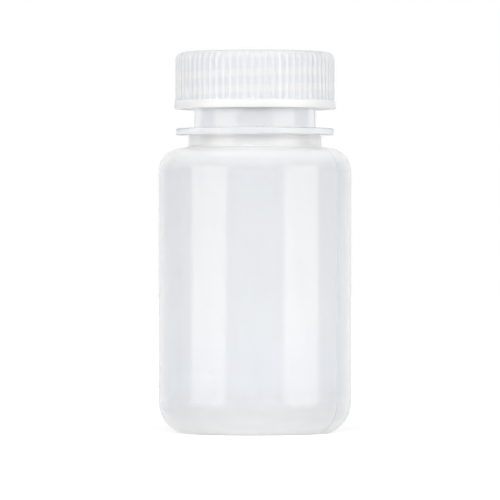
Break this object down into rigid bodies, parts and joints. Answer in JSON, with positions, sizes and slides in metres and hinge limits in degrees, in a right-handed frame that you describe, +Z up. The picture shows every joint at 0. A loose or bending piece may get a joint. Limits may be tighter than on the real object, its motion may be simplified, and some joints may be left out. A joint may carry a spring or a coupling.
{
  "type": "reagent bottle",
  "caption": "Wide-mouth translucent plastic reagent bottle with a threaded neck and collar, closed by a ribbed screw cap with a loose sealing liner.",
  "frame": {"origin": "middle of the standing ring, on the surface the bottle stands on", "axes": "+Z up along the bottle's axis, +X to the right and +Y away from the viewer in the picture"},
  "size_m": [0.05, 0.05, 0.0985],
  "materials": {
    "bottle_plastic": "natural milky translucent, satin",
    "cap_plastic": "natural milky translucent, half gloss",
    "liner_foam": "white closed-cell foam"
  },
  "bodies": {
    "bottle": {"bottle": "bottle_plastic"},
    "liner": {"cap_liner": "liner_foam"},
    "cap": {"screw_cap": "cap_plastic"}
  },
  "joints": [
    {"name": "cap_lift", "type": "slide", "parent": "bottle", "child": "liner", "axis": [0, 0, 1], "range_m": [0, 0.01435]},
    {"name": "cap_turn", "type": "hinge", "parent": "liner", "child": "cap", "pos_m": [0, 0, 0.0905], "axis": [0, 0, 1], "range_deg": [0, 1260]}
  ],
  "couplings": [
    {"joint": "cap_lift", "follows": "cap_turn", "m_per_rad": 0.00065253}
  ]
}
